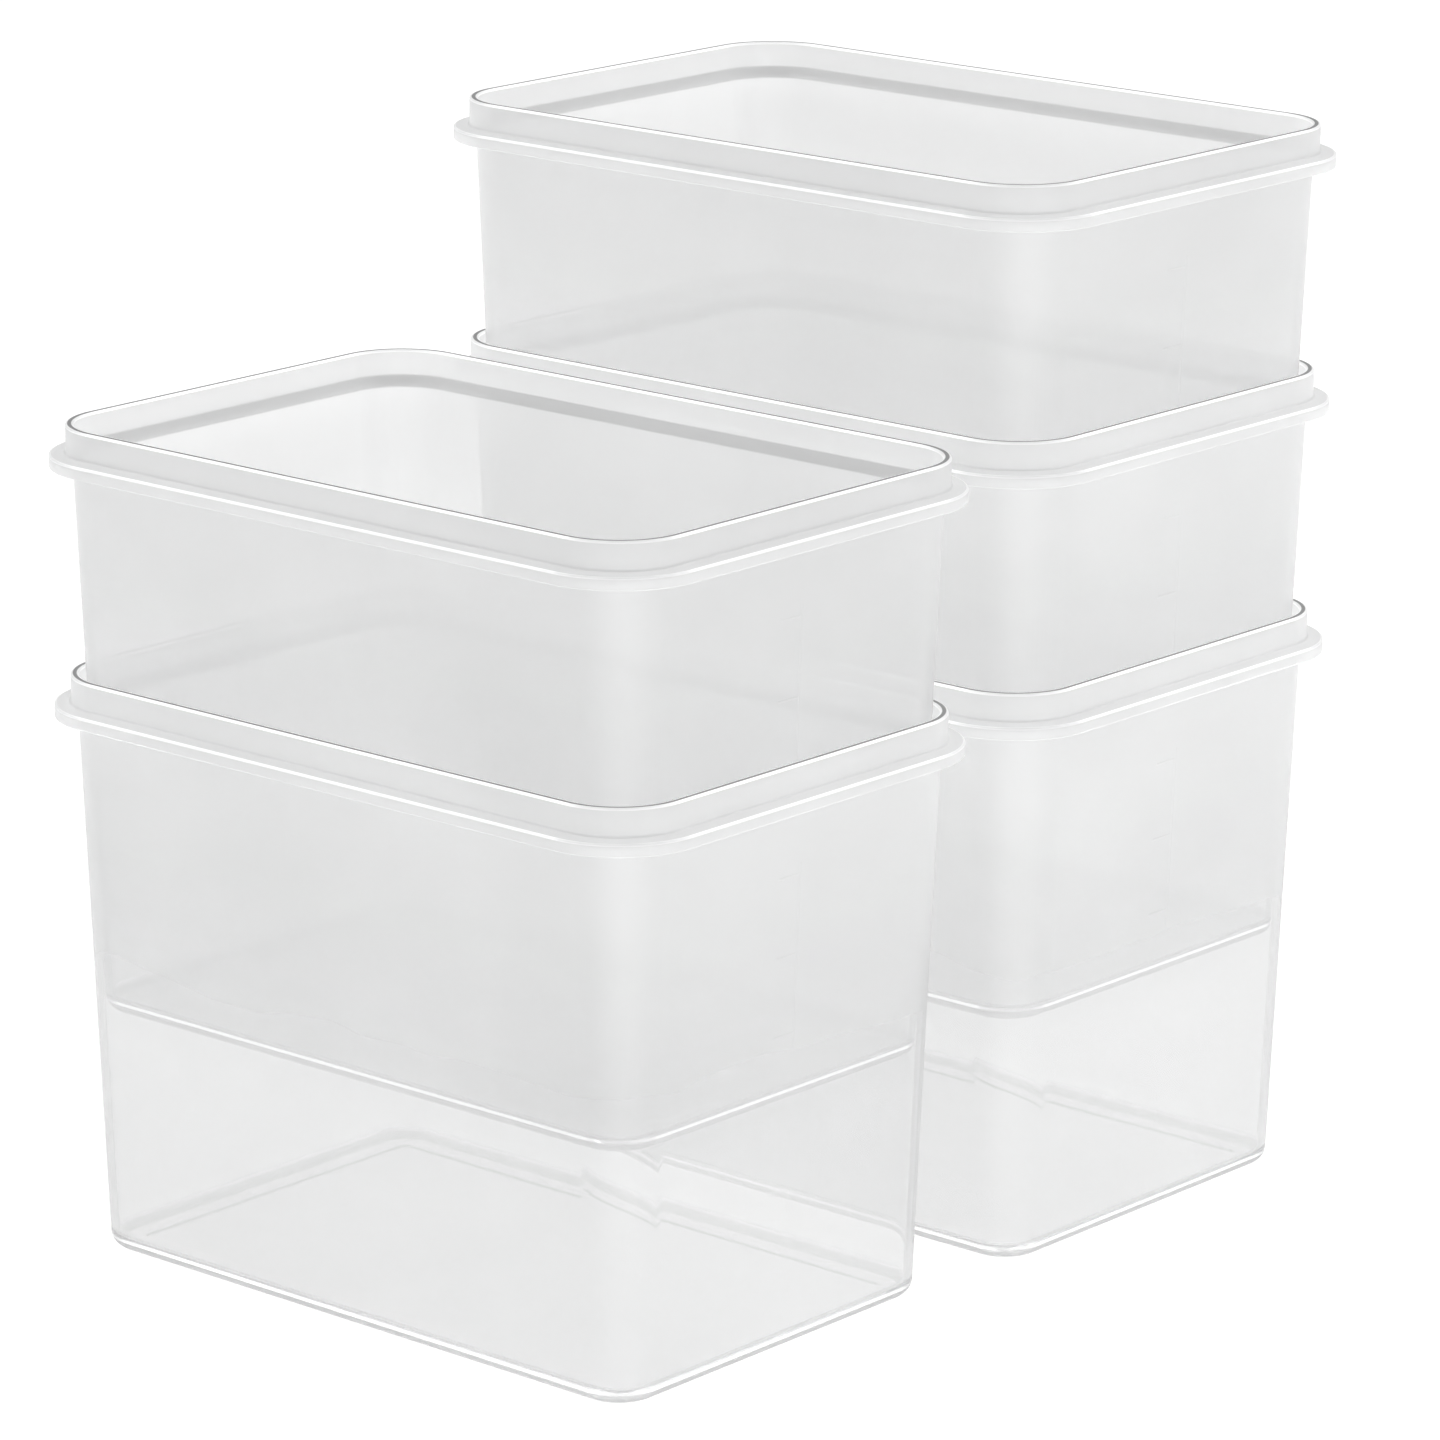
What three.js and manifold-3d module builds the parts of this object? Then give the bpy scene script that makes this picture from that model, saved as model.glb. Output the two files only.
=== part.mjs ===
// A set of five identical open storage bins for a fridge shelf, nested in two stacks that stand side by side.
// Units are millimetres and +Z is up. The origin is on the shelf, at the middle of the whole set.
// Each bin is one moulding: its wall is a profile that is swept round a rectangle with rounded corners.

import * as THREE from 'three';
import { mergeVertices } from 'three/addons/utils/BufferGeometryUtils.js';
import Module from 'manifold-3d';

// The bin, measured at the outside face of the upright collar round its mouth.
const BIN_HEIGHT = 160;
const COLLAR_LENGTH = 208;
const COLLAR_WIDTH = 138;
const CORNER_RADIUS = 20;
const CORNER_STEPS = 5;

// The wall leans in by TAPER for each millimetre below the rim, from a face set back behind the collar.
const WALL = 2.3;
const TAPER = 0.0405;
const COLLAR_STEP = 1.4;

// The inner step that the next bin's wall passes, measured down from the rim.
const STEP_TOP = 7.1;
const STEP_BOTTOM = 9.9;

// The flange under the collar: a thin shelf with a turned-down skirt at its edge.
const FLANGE_TOP = 7.6;
const FLANGE_FALL = 0.4;
const FLANGE_REACH = 4.4;
const FLANGE_BOTTOM = 11.5;
const FLANGE_PLATE = 1.6;
const SKIRT_WALL = 1.5;

// The base: a rounded heel, a flat foot ring, and a floor raised a little inside the ring.
const BASE_FILLET = 4.5;
const FILLET_STEPS = 3;
const FOOT_WIDTH = 5.5;
const FOOT_RECESS = 1.2;
const RECESS_SLOPE = 0.8;
const FLOOR_TOP = 3.6;
const FLOOR_FILLET = 2;
const FLOOR_FILLET_STEPS = 2;

// The measuring scale on one short side: an upright line with level marks, half a litre apart.
const MARK_COUNT = 6;
const FIRST_MARK = 23.5;
const MARK_SPACING = 21.3;
const MARK_LENGTH = 8;
const MARK_WIDTH = 0.7;
const MARK_RELIEF = 0.25;
const MARK_ROOT = 0.8;
const LINE_BELOW = 4;
const LINE_ABOVE = 3;

// The set: how far each nested bin stands above the one below it, and where the stacks stand.
const NEST_STEP = 67.5;
const STACK_SPACING = 150;
const STACK_SHIFT = 5;
const STACKS = [
  { x: -STACK_SHIFT / 2, y: -STACK_SPACING / 2, names: ['bin_front_lower', 'bin_front_upper'] },
  {
    x: STACK_SHIFT / 2,
    y: STACK_SPACING / 2,
    names: ['bin_rear_lower', 'bin_rear_middle', 'bin_rear_upper'],
  },
];

const MILKY_WHITE = '#e9ebec';
const PLASTIC_ROUGHNESS = 0.35;
const PLASTIC_OPACITY = 0.55;

const wasm = await Module();
wasm.setup();

// How far the wall's outside face is inside the collar's face at a height above the base.
function wallInset(height) {
  return COLLAR_STEP + TAPER * (BIN_HEIGHT - height);
}

// A quarter circle from the level face to the upright one, as [inset, height] points.
function quarterArc(insetAtWall, base, radius, steps, fromLevel) {
  const points = [];
  for (let step = 0; step <= steps; step += 1) {
    const turn = (fromLevel ? 1 - step / steps : step / steps) * (Math.PI / 2);
    const inset = insetAtWall + radius * (1 - Math.cos(turn));
    const height = base + radius * (1 - Math.sin(turn));
    points.push([inset, height]);
  }
  return points;
}

// The section of the moulding, from the middle of the underside round to the middle of the floor.
// Each point is [inset from the collar's face, height above the base].
function binProfile() {
  const footOuter = wallInset(BASE_FILLET) + BASE_FILLET;
  const footInner = footOuter + FOOT_WIDTH;
  const underFlange = BIN_HEIGHT - FLANGE_TOP - FLANGE_PLATE;
  const skirtBottom = BIN_HEIGHT - FLANGE_BOTTOM;
  const floorCorner = FLOOR_TOP + FLOOR_FILLET;
  return [
    [footInner + RECESS_SLOPE, FOOT_RECESS],
    [footInner, 0],
    ...quarterArc(wallInset(BASE_FILLET), 0, BASE_FILLET, FILLET_STEPS, true),
    [wallInset(underFlange), underFlange],
    [SKIRT_WALL - FLANGE_REACH, underFlange],
    [SKIRT_WALL - FLANGE_REACH, skirtBottom],
    [-FLANGE_REACH, skirtBottom],
    [-FLANGE_REACH, BIN_HEIGHT - FLANGE_TOP - FLANGE_FALL],
    [0, BIN_HEIGHT - FLANGE_TOP],
    [0, BIN_HEIGHT],
    [WALL, BIN_HEIGHT],
    [WALL, BIN_HEIGHT - STEP_TOP],
    [wallInset(BIN_HEIGHT - STEP_BOTTOM) + WALL, BIN_HEIGHT - STEP_BOTTOM],
    ...quarterArc(wallInset(floorCorner) + WALL, FLOOR_TOP, FLOOR_FILLET, FLOOR_FILLET_STEPS, false),
  ];
}

// The rounded rectangle at one point of the section, anticlockwise from above.
function ringPoints([inset, height]) {
  const radius = CORNER_RADIUS - inset;
  const centreX = COLLAR_LENGTH / 2 - CORNER_RADIUS;
  const centreY = COLLAR_WIDTH / 2 - CORNER_RADIUS;
  const corners = [[1, 1], [-1, 1], [-1, -1], [1, -1]];
  return corners.flatMap(([signX, signY], corner) => {
    const start = (corner * Math.PI) / 2;
    const arc = new THREE.Path();
    arc.absarc(signX * centreX, signY * centreY, radius, start, start + Math.PI / 2, false);
    return arc.getPoints(CORNER_STEPS).map((point) => new THREE.Vector3(point.x, point.y, height));
  });
}

// A closed body through a list of rings with equal point counts, with a flat cap on the first and the last.
function loftGeometry(rings) {
  const count = rings[0].length;
  const vertices = rings.flat();
  const faces = [];
  for (let ring = 0; ring + 1 < rings.length; ring += 1) {
    for (let point = 0; point < count; point += 1) {
      const next = (point + 1) % count;
      const here = ring * count;
      const there = here + count;
      faces.push(here + point, here + next, there + next);
      faces.push(here + point, there + next, there + point);
    }
  }
  const outline = rings[0].map((point) => new THREE.Vector2(point.x, point.y));
  const lastRing = (rings.length - 1) * count;
  for (const [a, b, c] of THREE.ShapeUtils.triangulateShape(outline, [])) {
    faces.push(a, c, b);
    faces.push(lastRing + a, lastRing + b, lastRing + c);
  }
  const geometry = new THREE.BufferGeometry().setFromPoints(vertices);
  geometry.setIndex(faces);
  return geometry;
}

// The scale as one flat comb that stands proud of the wall on the +X side and is rooted inside it.
function scaleGeometry() {
  const lean = Math.atan(TAPER);
  const upWall = (height) => height / Math.cos(lean);
  const heights = Array.from({ length: MARK_COUNT }, (_, mark) => upWall(FIRST_MARK + mark * MARK_SPACING));
  const bottom = heights[0] - LINE_BELOW;
  const top = heights[MARK_COUNT - 1] + LINE_ABOVE;
  const comb = new THREE.Shape();
  comb.moveTo(0, bottom);
  comb.lineTo(MARK_WIDTH, bottom);
  comb.lineTo(MARK_WIDTH, top);
  comb.lineTo(0, top);
  for (const height of heights.toReversed()) {
    comb.lineTo(0, height + MARK_WIDTH / 2);
    comb.lineTo(-MARK_LENGTH, height + MARK_WIDTH / 2);
    comb.lineTo(-MARK_LENGTH, height - MARK_WIDTH / 2);
    comb.lineTo(0, height - MARK_WIDTH / 2);
  }
  comb.closePath();
  const depth = MARK_ROOT + MARK_RELIEF;
  const geometry = new THREE.ExtrudeGeometry(comb, { depth, bevelEnabled: false });
  geometry.translate(0, 0, -MARK_ROOT);
  const outward = new THREE.Vector3(Math.cos(lean), 0, -Math.sin(lean));
  const up = new THREE.Vector3(Math.sin(lean), 0, Math.cos(lean));
  const across = new THREE.Vector3(0, 1, 0);
  const place = new THREE.Matrix4().makeBasis(across, up, outward);
  place.setPosition(COLLAR_LENGTH / 2 - wallInset(0), 0, 0);
  return geometry.applyMatrix4(place);
}

function toSolid(geometry) {
  const bare = geometry.clone();
  bare.deleteAttribute('normal');
  bare.deleteAttribute('uv');
  const merged = mergeVertices(bare, 1e-4);
  const vertProperties = new Float32Array(merged.attributes.position.array);
  const triVerts = new Uint32Array(merged.index.array);
  return new wasm.Manifold(new wasm.Mesh({ numProp: 3, vertProperties, triVerts }));
}

function toGeometry(solid) {
  const mesh = solid.getMesh();
  const geometry = new THREE.BufferGeometry();
  geometry.setAttribute('position', new THREE.BufferAttribute(mesh.vertProperties, 3));
  geometry.setIndex(new THREE.BufferAttribute(mesh.triVerts, 1));
  geometry.computeVertexNormals();
  return geometry;
}

function binGeometry() {
  const shell = toSolid(loftGeometry(binProfile().map(ringPoints)));
  const scale = toSolid(scaleGeometry());
  return toGeometry(shell.add(scale));
}

function binMaterial() {
  return new THREE.MeshStandardMaterial({
    color: MILKY_WHITE,
    roughness: PLASTIC_ROUGHNESS,
    metalness: 0,
    transparent: true,
    opacity: PLASTIC_OPACITY,
  });
}

const group = new THREE.Group();
const geometry = binGeometry();
for (const stack of STACKS) {
  stack.names.forEach((name, level) => {
    const bin = new THREE.Mesh(geometry, binMaterial());
    bin.name = name;
    bin.position.set(stack.x, stack.y, level * NEST_STEP);
    group.add(bin);
  });
}

export default group;
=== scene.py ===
"""The looks of a set of five milky-clear fridge bins, nested in two stacks.

Every bin is one moulding. Its section is a line of filleted corners that is swept round a rectangle with
rounded corners, with exact normals, and the measuring scale is raised out of the wall on its +X side.
Sections and sizes are in millimetres, and meshes, lights and the camera are in metres.
"""

import cmath
import math

import bmesh
import bpy
from mathutils import Matrix, Quaternion, Vector


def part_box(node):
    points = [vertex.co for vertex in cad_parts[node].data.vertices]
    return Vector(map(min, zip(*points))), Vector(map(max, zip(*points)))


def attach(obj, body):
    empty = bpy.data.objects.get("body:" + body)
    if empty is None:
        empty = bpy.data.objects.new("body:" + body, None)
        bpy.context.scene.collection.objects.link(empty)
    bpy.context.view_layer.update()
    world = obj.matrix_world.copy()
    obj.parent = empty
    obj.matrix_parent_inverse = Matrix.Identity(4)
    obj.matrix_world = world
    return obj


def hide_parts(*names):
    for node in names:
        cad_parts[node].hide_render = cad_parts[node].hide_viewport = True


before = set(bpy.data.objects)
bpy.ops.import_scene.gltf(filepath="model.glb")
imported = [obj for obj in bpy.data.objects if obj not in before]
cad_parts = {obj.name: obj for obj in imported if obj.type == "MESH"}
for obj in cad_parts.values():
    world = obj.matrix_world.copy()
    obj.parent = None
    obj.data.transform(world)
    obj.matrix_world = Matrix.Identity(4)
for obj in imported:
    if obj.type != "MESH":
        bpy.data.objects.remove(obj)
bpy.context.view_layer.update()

MM = 0.001

# The section of a bin. Insets are measured from the collar's upright face, heights from the base.
CORNER_RADIUS = 20
CORNER_STEPS = 20
WALL = 2.3
TAPER = 0.0405
COLLAR_STEP = 1.4
STEP_TOP = 7.1
STEP_BOTTOM = 9.9
FLANGE_TOP = 7.6
FLANGE_FALL = 0.4
FLANGE_REACH = 4.4
FLANGE_BOTTOM = 11.5
FLANGE_PLATE = 1.6
SKIRT_WALL = 1.5
HEEL_RADIUS = 4.5
FOOT_WIDTH = 5.5
FOOT_RECESS = 1.2
RECESS_SLOPE = 0.8
FLOOR_TOP = 3.6
FLOOR_FILLET = 2
RIM_FILLET = 0.55
EDGE_FILLET = 0.4
ROOT_FILLET = 0.7
FILLET_TURN = math.radians(7.5)

# Tones: painted light on bands of the section beside the plain wall, from -1, painted shade, to 1, painted
# highlight.
# The heel's painted highlight line is between two heights above the base; the heel below it gets painted
# shade.
HEEL_HIGHLIGHT_BAND = (3.0, 4.2)
HEEL_PAINTED_HIGHLIGHT = 0.6
HEEL_PAINTED_SHADE = -0.4
STEP_PAINTED_SHADE = -0.35
RIM_EDGE_PAINTED_HIGHLIGHT = 0.6
RIM_TOP_PAINTED_SHADE = -0.9
FLANGE_EDGE_PAINTED_HIGHLIGHT = 0.45
PAINTED_LIGHT_FADE = 0.15

# Round an upright corner the painted highlight lines fade to a share of their strength, and the wall has a
# soft painted highlight strip.
CORNER_HIGHLIGHT_SHARE = 0.35
CORNER_WIDENING = 0.5
CORNER_PAINTED_HIGHLIGHT = 0.05
STRIP_NARROWING = 4

# The measuring scale: an upright line with level marks beside it.
MARK_COUNT = 6
FIRST_MARK = 23.5
MARK_SPACING = 21.3
MARK_LENGTH = 8
MARK_WIDTH = 0.7
MARK_RELIEF = 0.05
MARK_DRAFT = 0.2
LINE_BELOW = 4
LINE_ABOVE = 3

# The view, the floor, and how often light may bounce.
VIEW_TARGET = Vector((0.0039, 0.0034, 0.1372))
VIEW_DISTANCE = 1.808
VIEW_AZIMUTH = math.radians(-49.0)
VIEW_ELEVATION = math.radians(15.22)
VIEW_ROLL = 0.0039
SENSOR_WIDTH = 36
LENS = 166.98
FLOOR_SIZE = 30
FLOOR_DROP = 0.0005
FLOOR_WHITE = 0.93
FLOOR_ROUGHNESS = 0.9
MAX_BOUNCES = 18
TRANSMISSION_BOUNCES = 16
DIFFUSE_BOUNCES = 2
GLOSSY_BOUNCES = 10

# The dome is dim near the horizon and brighter overhead, and changes between two heights on a unit sphere.
DOME_EDGE = (0.3, 0.55)
HORIZON_LIGHT = 0.30
DOME_LIGHT = 0.62

# Each softbox has a name, a place, a width and height, and a power in watts. All face one point.
SOFTBOX_TARGET = (0, 0, 0.1)
SOFTBOXES = [
    ("left_softbox", (-1.9, 0.0, 2.2), (1.0, 0.8), 35),
    ("back_softbox", (0.25, 2.1, 2.0), (1.0, 0.8), 35),
    ("right_softbox", (2.6, 0.2, 1.0), (1.4, 1.0), 10),
]

# The plastic: how much of the light goes on through one face, and how bright the haze is. Both change from
# the low wall to the upper one, between two shares of the bin's height.
CLEARNESS = (0.70, 0.72)
HAZE_LEVEL = 0.72
MILKY_FROM = (0.44, 0.95)
UPPER_CLEARNESS = 0.5
UPPER_LEVEL = 1.10
PASSED_ON = 0.5
TINT = (0.997, 1.0, 1.002)
# Painted light: the share of haze level left under painted shade, the glow of painted highlights, and how
# white painted highlights are.
PAINTED_SHADE_SHARE = 0.3
PAINTED_HIGHLIGHT_GLOW = 0.6
PAINTED_HIGHLIGHT_WHITE = 1.0
PLASTIC_IOR = 1.3

# The faint unevenness of the plastic: each noise has a scale in clouds a metre and a detail.
NOISE_SPREAD = (0.3, 0.7)
CLEAR_CLOUDS = (14, 2)
LEVEL_CLOUDS = (18, 3)
LEVEL_CHANGE = (0.985, 1.015)
GRAIN_CLOUDS = (160, 1)
GRAIN_STRENGTH = 0.2
GRAIN_HEIGHT = 0.0001
GLOSS_ROUGHNESS = 0.08
GLOSS_CHANGE = 0.06


class Bin:
    """Where one bin stands, read from its CAD node, with half sizes at the collar's face in millimetres."""

    def __init__(self, node):
        low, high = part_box(node)
        self.node = node
        self.body = node.removeprefix("bin_")
        self.origin = Vector(((low.x + high.x) / 2, (low.y + high.y) / 2, low.z))
        self.height = (high.z - low.z) / MM
        self.half_length = (high.x - low.x) / 2 / MM - FLANGE_REACH
        self.half_width = (high.y - low.y) / 2 / MM - FLANGE_REACH

    def wall_inset(self, height):
        """How far the wall's outside face is inside the collar's face at a height above the base."""
        return COLLAR_STEP + TAPER * (self.height - height)


def fillet(before, corner, after, radius):
    """The points of an arc of that radius in a corner. Points are complex: outward reach + height * 1j."""
    towards = (before - corner) / abs(before - corner)
    away = (after - corner) / abs(after - corner)
    half = math.acos((towards * away.conjugate()).real) / 2
    centre = corner + (towards + away) / abs(towards + away) * radius / math.sin(half)
    start = corner + towards * radius / math.tan(half) - centre
    end = corner + away * radius / math.tan(half) - centre
    turn = cmath.phase(end / start)
    steps = max(2, math.ceil(abs(turn) / FILLET_TURN))
    return [centre + start * cmath.rect(1, turn * step / steps) for step in range(steps + 1)]


def section_corners(tub):
    """The section's corners from the underside's middle round the outside and over the rim to the floor.

    Each is (inset, height, fillet radius, painted light of the fillet, painted light of the face that
    follows).
    """
    top = tub.height
    foot_inner = tub.wall_inset(HEEL_RADIUS) + HEEL_RADIUS + FOOT_WIDTH
    under_flange = top - FLANGE_TOP - FLANGE_PLATE
    skirt_bottom = top - FLANGE_BOTTOM
    step_bottom = top - STEP_BOTTOM
    return [
        (foot_inner + 2 * RECESS_SLOPE, FOOT_RECESS, 0, 0, 0),
        (foot_inner + RECESS_SLOPE, FOOT_RECESS, EDGE_FILLET, 0, 0),
        (foot_inner, 0, EDGE_FILLET, 0, 0),
        (tub.wall_inset(0), 0, HEEL_RADIUS, HEEL_PAINTED_SHADE, 0),
        (tub.wall_inset(under_flange), under_flange, ROOT_FILLET, 0, 0),
        (SKIRT_WALL - FLANGE_REACH, under_flange, EDGE_FILLET, 0, 0),
        (SKIRT_WALL - FLANGE_REACH, skirt_bottom, EDGE_FILLET, 0, 0),
        (-FLANGE_REACH, skirt_bottom, EDGE_FILLET, 0, 0),
        (-FLANGE_REACH, top - FLANGE_TOP - FLANGE_FALL, RIM_FILLET, FLANGE_EDGE_PAINTED_HIGHLIGHT, 0),
        (0, top - FLANGE_TOP, ROOT_FILLET, 0, 0),
        (0, top, RIM_FILLET, RIM_EDGE_PAINTED_HIGHLIGHT, RIM_TOP_PAINTED_SHADE),
        (WALL, top, RIM_FILLET, RIM_EDGE_PAINTED_HIGHLIGHT, 0),
        (WALL, top - STEP_TOP, ROOT_FILLET, STEP_PAINTED_SHADE, STEP_PAINTED_SHADE),
        (tub.wall_inset(step_bottom) + WALL, step_bottom, ROOT_FILLET, STEP_PAINTED_SHADE, 0),
        (tub.wall_inset(FLOOR_TOP) + WALL, FLOOR_TOP, FLOOR_FILLET, 0, 0),
        (tub.wall_inset(FLOOR_TOP) + WALL + 2 * FLOOR_FILLET, FLOOR_TOP, 0, 0, 0),
    ]


def guard_point(near, far, far_radius, face_painted_light):
    """The point just past a fillet's end where its painted light gives way to the face's, if there is room
    for one.
    """
    run = abs(far - near)
    if run <= 2 * PAINTED_LIGHT_FADE + far_radius:
        return []
    return [(near + (far - near) / run * PAINTED_LIGHT_FADE, face_painted_light)]


def bin_section(tub):
    """The filleted section as (point, painted light) pairs, with a guard point at each end of a fillet."""
    corners = section_corners(tub)
    places = [complex(-inset, height) for inset, height, *_ in corners]
    radii = [radius for _, _, radius, *_ in corners]
    face_painted_lights = [face_painted_light for *_, face_painted_light in corners]
    section = [(places[0], 0)]
    for index in range(1, len(corners) - 1):
        before, after = index - 1, index + 1
        painted_light = corners[index][3]
        arc = fillet(places[before], places[index], places[after], radii[index])
        section += guard_point(arc[0], places[before], radii[before], face_painted_lights[before])
        for point in arc:
            section.append((point, heel_painted_light(point.imag) if radii[index] == HEEL_RADIUS else painted_light))
        section += guard_point(arc[-1], places[after], radii[after], face_painted_lights[index])
    return section + [(places[-1], 0)]


def heel_painted_light(height):
    """A painted highlight in a fine line along the top of the heel, and painted shade below it."""
    if height < HEEL_HIGHLIGHT_BAND[0]:
        return HEEL_PAINTED_SHADE
    return HEEL_PAINTED_HIGHLIGHT if height < HEEL_HIGHLIGHT_BAND[1] else 0


def corner_painted_light(painted_light, turned, wall_top):
    """The painted light at a share of the way round an upright corner: painted highlight lines fade, and the
    wall gets a painted highlight strip.

    The strip is set along the top of the wall only, so that it dies out towards the base.
    """
    middle = math.sin(math.pi * turned)
    if wall_top:
        return CORNER_PAINTED_HIGHLIGHT * middle ** STRIP_NARROWING
    if painted_light <= 0:
        return painted_light
    return painted_light * (1 - (1 - CORNER_HIGHLIGHT_SHARE) * middle ** CORNER_WIDENING)


def section_normals(section):
    """The outward normal at each point: the mean of its two sides', each weighted by the side's length."""
    sides = [after - before for (before, _), (after, _) in zip(section, section[1:])]
    normals = []
    for index in range(len(section)):
        around = sides[max(index - 1, 0) : index + 1]
        normal = sum(around) * -1j
        normals.append(normal / abs(normal))
    return normals


def outline_points():
    """The sweep's path: for each point its corner's signs and the angle round that corner's centre."""
    points = []
    for corner, signs in enumerate([(1, 1), (-1, 1), (-1, -1), (1, -1)]):
        for step in range(CORNER_STEPS + 1):
            points.append((*signs, (corner + step / CORNER_STEPS) * math.pi / 2))
    return points


def scale_outline(shrink):
    """The outline of the upright line with its marks, as (across, up the wall) points, a little narrower."""
    lean = math.cos(math.atan(TAPER))
    heights = [(FIRST_MARK + mark * MARK_SPACING) / lean for mark in range(MARK_COUNT)]
    half = MARK_WIDTH / 2 - shrink
    bottom = heights[0] - LINE_BELOW + shrink
    top = heights[-1] + LINE_ABOVE - shrink
    outline = [(shrink, bottom), (MARK_WIDTH - shrink, bottom), (MARK_WIDTH - shrink, top), (shrink, top)]
    tip = shrink - MARK_LENGTH
    for height in reversed(heights):
        for across, side in ((shrink, half), (tip, half), (tip, -half), (shrink, -half)):
            outline.append((across, height + side))
    return outline


def add_scale(bm, tub, window):
    """Raises the scale out of the wall inside the open window, whose four edges are given."""
    lean = math.atan(TAPER)
    outward = Vector((math.cos(lean), 0, -math.sin(lean)))
    up = Vector((math.sin(lean), 0, math.cos(lean)))
    foot = Vector((tub.half_length - tub.wall_inset(0), 0, 0))
    rings = []
    for shrink, relief in ((0, 0), (MARK_DRAFT, MARK_RELIEF)):
        ring = []
        for across, rise in scale_outline(shrink):
            ring.append(bm.verts.new(foot + Vector((0, across, 0)) + up * rise + outward * relief))
        rings.append(ring)
    base, raised = rings
    count = len(base)
    edges = [bm.edges.new((base[i], base[(i + 1) % count])) for i in range(count)]
    flat = bmesh.ops.triangle_fill(bm, use_beauty=True, edges=window + edges, normal=outward)
    for face in flat["geom"]:
        if isinstance(face, bmesh.types.BMFace):
            face.smooth = False
    for i in range(count):
        bm.faces.new((base[i], base[(i + 1) % count], raised[(i + 1) % count], raised[i]))
    bm.faces.new(raised)


def tallest_side(section):
    """The index of the section's point at the foot of its tallest side, which is the outside of the wall."""
    heights = [place.imag for place, _ in section]
    climbs = [upper - lower for lower, upper in zip(heights, heights[1:])]
    return climbs.index(max(climbs))


def sweep_rings(bm, tub, section, wall):
    """Adds a ring of vertices for each point of the section, and lists every vertex's normal and painted
    light.
    """
    rings = []
    normals = []
    painted_lights = []
    for index, ((place, painted_light), tilt) in enumerate(zip(section, section_normals(section))):
        radius = CORNER_RADIUS + place.real
        ring = []
        for step, (sign_x, sign_y, angle) in enumerate(outline_points()):
            centre_x = sign_x * (tub.half_length - CORNER_RADIUS)
            centre_y = sign_y * (tub.half_width - CORNER_RADIUS)
            side = Vector((math.cos(angle), math.sin(angle), 0))
            ring.append(bm.verts.new(Vector((centre_x, centre_y, place.imag)) + side * radius))
            normals.append(side * tilt.real + Vector((0, 0, tilt.imag)))
            turned = step % (CORNER_STEPS + 1) / CORNER_STEPS
            painted_lights.append(corner_painted_light(painted_light, turned, index == wall + 1))
        rings.append(ring)
    return rings, normals, painted_lights


def skin_rings(bm, rings, wall):
    """Joins the rings and closes both ends. The wall's face on the +X side is left out as a window."""
    count = len(rings[0])
    for index, (lower, upper) in enumerate(zip(rings, rings[1:])):
        for here in range(count):
            there = (here + 1) % count
            if (index, there) != (wall, 0):
                face = bm.faces.new((lower[here], lower[there], upper[there], upper[here]))
                face.smooth = True
    bm.faces.new(reversed(rings[0])).smooth = True
    bm.faces.new(rings[-1]).smooth = True


def window_edges(bm, rings, wall):
    """The four edges round the window, in order, of which the ones that skin_rings didn't make are new."""
    corners = [rings[wall][-1], rings[wall][0], rings[wall + 1][0], rings[wall + 1][-1]]
    edges = []
    for start, end in zip(corners, corners[1:] + corners[:1]):
        edges.append(bm.edges.get((start, end)) or bm.edges.new((start, end)))
    return edges


def set_normals(mesh, normals):
    """Gives the smooth faces the sweep's exact normals, and the flat faces their own."""
    corners = []
    for face in mesh.polygons:
        for vertex in face.vertices:
            corners.append(normals[vertex] if face.use_smooth else face.normal.copy())
    mesh.normals_split_custom_set(corners)


def bin_mesh(tub):
    """One bin as a closed mesh in its place, smooth where it is rounded and flat on the scale."""
    section = bin_section(tub)
    wall = tallest_side(section)
    bm = bmesh.new()
    rings, normals, painted_lights = sweep_rings(bm, tub, section, wall)
    skin_rings(bm, rings, wall)
    add_scale(bm, tub, window_edges(bm, rings, wall))
    bmesh.ops.recalc_face_normals(bm, faces=bm.faces)
    mesh = bpy.data.meshes.new(tub.body)
    bm.to_mesh(mesh)
    bm.free()
    set_normals(mesh, normals)
    painted_lights += [0] * (len(mesh.vertices) - len(painted_lights))
    rises = [vertex.co.z / tub.height for vertex in mesh.vertices]
    for name, values in (("painted_light", painted_lights), ("rise", rises)):
        mesh.attributes.new(name, "FLOAT", "POINT").data.foreach_set("value", values)
    mesh.transform(Matrix.Translation(tub.origin) @ Matrix.Scale(MM, 4))
    return mesh


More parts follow.
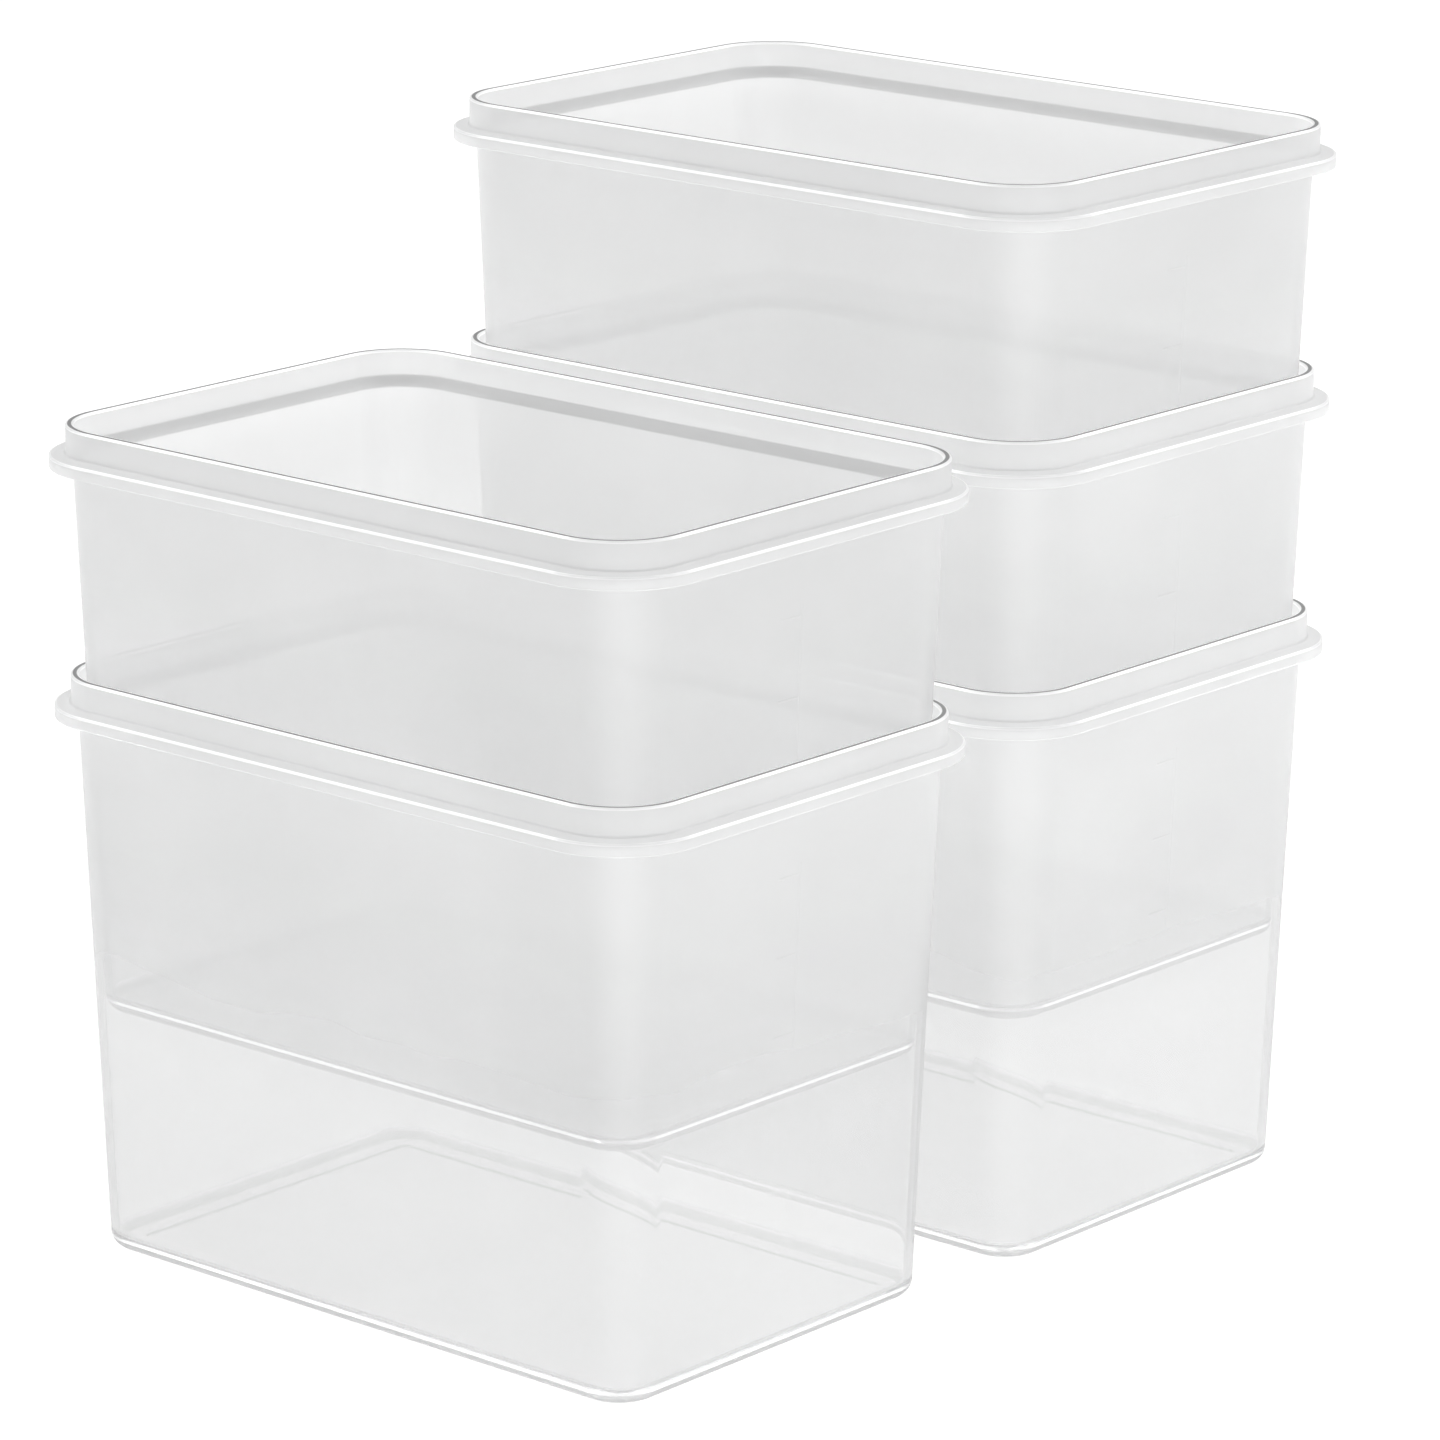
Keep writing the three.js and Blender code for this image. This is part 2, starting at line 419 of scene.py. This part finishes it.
class NodeMaterial:
    """Short calls that add nodes to a material. An input takes a number, a colour or another's output."""

    def __init__(self, name):
        self.material = bpy.data.materials.new(name)
        self.material.use_nodes = True
        self.tree = self.material.node_tree
        self.tree.nodes.clear()

    def new(self, kind):
        return self.tree.nodes.new("ShaderNode" + kind)

    def feed(self, socket, value):
        if isinstance(value, bpy.types.NodeSocket):
            self.tree.links.new(value, socket)
        else:
            socket.default_value = value

    def shader(self, kind, **inputs):
        node = self.new(kind)
        for name, value in inputs.items():
            self.feed(node.inputs[name], value)
        return node.outputs[0]

    def attribute(self, name):
        node = self.new("Attribute")
        node.attribute_name = name
        return node.outputs["Fac"]

    def math(self, operation, *values):
        node = self.new("Math")
        node.operation = operation
        for socket, value in zip(node.inputs, values):
            self.feed(socket, value)
        return node.outputs[0]

    def mix(self, share, first, second):
        """The first shader where share is 0 and the second where it is 1."""
        node = self.new("MixShader")
        for socket, value in zip(node.inputs, (share, first, second)):
            self.feed(socket, value)
        return node.outputs[0]

    def colour(self, level):
        """The plastic's neutral white at that level."""
        node = self.new("CombineColor")
        for socket, tint in zip(node.inputs, TINT):
            self.feed(socket, self.math("MULTIPLY", level, tint))
        return node.outputs["Color"]

    def spread(self, value, start, end, low, high):
        """Runs smoothly from low to high as the value goes from start to end."""
        node = self.new("MapRange")
        node.interpolation_type = "SMOOTHSTEP"
        ends = {"From Min": start, "From Max": end, "To Min": low, "To Max": high}
        for name, number in ends.items():
            node.inputs[name].default_value = number
        self.feed(node.inputs["Value"], value)
        return node.outputs["Result"]

    def cloud(self, place, scale, detail, low, high):
        """Soft noise of that many clouds a metre, spread from low to high."""
        noise = self.new("TexNoise")
        noise.inputs["Scale"].default_value = scale
        noise.inputs["Detail"].default_value = detail
        self.feed(noise.inputs["Vector"], place)
        return self.spread(noise.outputs["Fac"], *NOISE_SPREAD, low, high)


def clear_share(make, place, painted_highlight, painted_shade, rise):
    """How much of the light a face lets on: less towards the rim, under painted highlights and under painted
    shade.
    """
    clouds = make.cloud(place, *CLEAR_CLOUDS, *CLEARNESS)
    under_painted_highlight = make.math("MULTIPLY_ADD", painted_highlight, make.math("MULTIPLY", painted_highlight, -1), 1)
    clear = make.math("MULTIPLY", clouds, under_painted_highlight)
    clear = make.math("MULTIPLY", clear, make.spread(rise, *MILKY_FROM, 1, UPPER_CLEARNESS))
    return make.math("MULTIPLY", clear, make.math("SUBTRACT", 1, painted_shade))


def haze_level(make, place, painted_highlight, painted_shade, rise):
    """How white the haze is: more towards the rim and under painted highlights, and less under painted shade.
    """
    level = make.math("MULTIPLY", make.cloud(place, *LEVEL_CLOUDS, *LEVEL_CHANGE), HAZE_LEVEL)
    level = make.math("MULTIPLY", level, make.spread(rise, *MILKY_FROM, 1, UPPER_LEVEL))
    level = make.math("MULTIPLY", level, make.math("MULTIPLY_ADD", painted_shade, PAINTED_SHADE_SHARE - 1, 1))
    return make.math("MULTIPLY_ADD", painted_highlight, make.math("SUBTRACT", PAINTED_HIGHLIGHT_WHITE, level), level)


def clear_plastic(make, place):
    """Light bent through the face, and a gloss with a fine grain over it."""
    through = make.shader("BsdfRefraction", IOR=PLASTIC_IOR, Roughness=0.0)
    grain = make.cloud(place, *GRAIN_CLOUDS, 0, 1)
    ripple = make.shader("Bump", Strength=GRAIN_STRENGTH, Distance=GRAIN_HEIGHT, Height=grain)
    roughness = make.math("MULTIPLY_ADD", grain, GLOSS_CHANGE, GLOSS_ROUGHNESS)
    shine = make.shader("BsdfGlossy", Roughness=roughness, Normal=ripple)
    return make.mix(make.shader("Fresnel", IOR=PLASTIC_IOR), through, shine)


def milky_material():
    """Natural polypropylene: it bends and mirrors light as clear plastic does, under a cloudy haze.

    Each face lets part of the light through and gives the rest back as haze, so every wall hazes twice.
    Painted
    light is set by place: a painted highlight is whiter and glows faintly, and painted shade is greyer.
    """
    make = NodeMaterial("milky_polypropylene")
    place = make.new("TexCoord").outputs["Object"]
    painted_light = make.attribute("painted_light")
    rise = make.attribute("rise")
    painted_highlight = make.math("MAXIMUM", painted_light, 0)
    painted_shade = make.math("MAXIMUM", make.math("MULTIPLY", painted_light, -1), 0)
    haze_colour = make.colour(haze_level(make, place, painted_highlight, painted_shade, rise))
    scattered = make.shader("BsdfDiffuse", Color=haze_colour)
    passed_on = make.shader("BsdfTranslucent", Color=haze_colour)
    haze = make.mix(PASSED_ON, scattered, passed_on)
    surface = make.mix(clear_share(make, place, painted_highlight, painted_shade, rise), haze, clear_plastic(make, place))
    # Painted highlight: an emission makes painted highlights glow on outside faces.
    outside = make.math("SUBTRACT", 1, make.new("NewGeometry").outputs["Backfacing"])
    painted_glow = make.math("MULTIPLY", make.math("MULTIPLY", painted_highlight, PAINTED_HIGHLIGHT_GLOW), outside)
    both = make.new("AddShader")
    make.feed(both.inputs[0], surface)
    make.feed(both.inputs[1], make.shader("Emission", Strength=painted_glow))
    make.feed(make.new("OutputMaterial").inputs["Surface"], both.outputs[0])
    return make.material


def add_bins():
    material = milky_material()
    for node in sorted(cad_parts):
        tub = Bin(node)
        piece = bpy.data.objects.new(tub.body + "_tub", bin_mesh(tub))
        bpy.context.scene.collection.objects.link(piece)
        piece.data.materials.append(material)
        piece.visible_shadow = False
        piece.visible_diffuse = False
        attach(piece, tub.body)
        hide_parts(node)


def add_floor():
    mesh = bpy.data.meshes.new("floor")
    half = FLOOR_SIZE / 2
    places = [(-half, -half, 0), (half, -half, 0), (half, half, 0), (-half, half, 0)]
    mesh.from_pydata(places, [], [(0, 1, 2, 3)])
    floor = bpy.data.objects.new("floor", mesh)
    floor.location.z = -FLOOR_DROP
    bpy.context.scene.collection.objects.link(floor)
    material = bpy.data.materials.new("pale_floor")
    material.use_nodes = True
    shader = material.node_tree.nodes["Principled BSDF"]
    shader.inputs["Base Color"].default_value = (FLOOR_WHITE, FLOOR_WHITE, FLOOR_WHITE, 1)
    shader.inputs["Roughness"].default_value = FLOOR_ROUGHNESS
    shader.inputs["Specular IOR Level"].default_value = 0.0
    mesh.materials.append(material)


def add_world():
    world = bpy.data.worlds.new("studio")
    bpy.context.scene.world = world
    world.use_nodes = True
    nodes = world.node_tree.nodes
    links = world.node_tree.links
    split = nodes.new("ShaderNodeSeparateXYZ")
    links.new(nodes.new("ShaderNodeTexCoord").outputs["Generated"], split.inputs["Vector"])
    ramp = nodes.new("ShaderNodeMapRange")
    ramp.interpolation_type = "SMOOTHSTEP"
    ramp.inputs["From Min"].default_value = DOME_EDGE[0]
    ramp.inputs["From Max"].default_value = DOME_EDGE[1]
    ramp.inputs["To Min"].default_value = HORIZON_LIGHT
    ramp.inputs["To Max"].default_value = DOME_LIGHT
    links.new(split.outputs["Z"], ramp.inputs["Value"])
    links.new(ramp.outputs["Result"], nodes["Background"].inputs["Strength"])
    nodes["Background"].inputs["Color"].default_value = (1, 1, 1, 1)


def add_softbox(name, location, size, power):
    light = bpy.data.lights.new(name, "AREA")
    light.shape = "RECTANGLE"
    light.size, light.size_y = size
    light.energy = power
    lamp = bpy.data.objects.new(name, light)
    lamp.location = location
    lamp.rotation_euler = (Vector(SOFTBOX_TARGET) - Vector(location)).to_track_quat("-Z", "Y").to_euler()
    bpy.context.scene.collection.objects.link(lamp)


def add_camera():
    camera = bpy.data.objects.new("camera", bpy.data.cameras.new("camera"))
    away = Vector((math.cos(VIEW_AZIMUTH) * math.cos(VIEW_ELEVATION),
                   math.sin(VIEW_AZIMUTH) * math.cos(VIEW_ELEVATION),
                   math.sin(VIEW_ELEVATION)))
    camera.location = VIEW_TARGET + away * VIEW_DISTANCE
    turn = (-away).to_track_quat("-Z", "Y") @ Quaternion((0, 0, 1), VIEW_ROLL)
    camera.rotation_euler = turn.to_euler()
    camera.data.sensor_width = SENSOR_WIDTH
    camera.data.lens = LENS
    bpy.context.scene.collection.objects.link(camera)
    bpy.context.scene.camera = camera


def set_light_paths():
    """Lets light through all the walls of both stacks, and shows colours as they are."""
    scene = bpy.context.scene
    scene.view_settings.view_transform = "Standard"
    scene.cycles.max_bounces = MAX_BOUNCES
    scene.cycles.transmission_bounces = TRANSMISSION_BOUNCES
    scene.cycles.diffuse_bounces = DIFFUSE_BOUNCES
    scene.cycles.glossy_bounces = GLOSSY_BOUNCES


add_camera()
add_bins()
add_floor()
add_world()
for softbox in SOFTBOXES:
    add_softbox(*softbox)
set_light_paths()
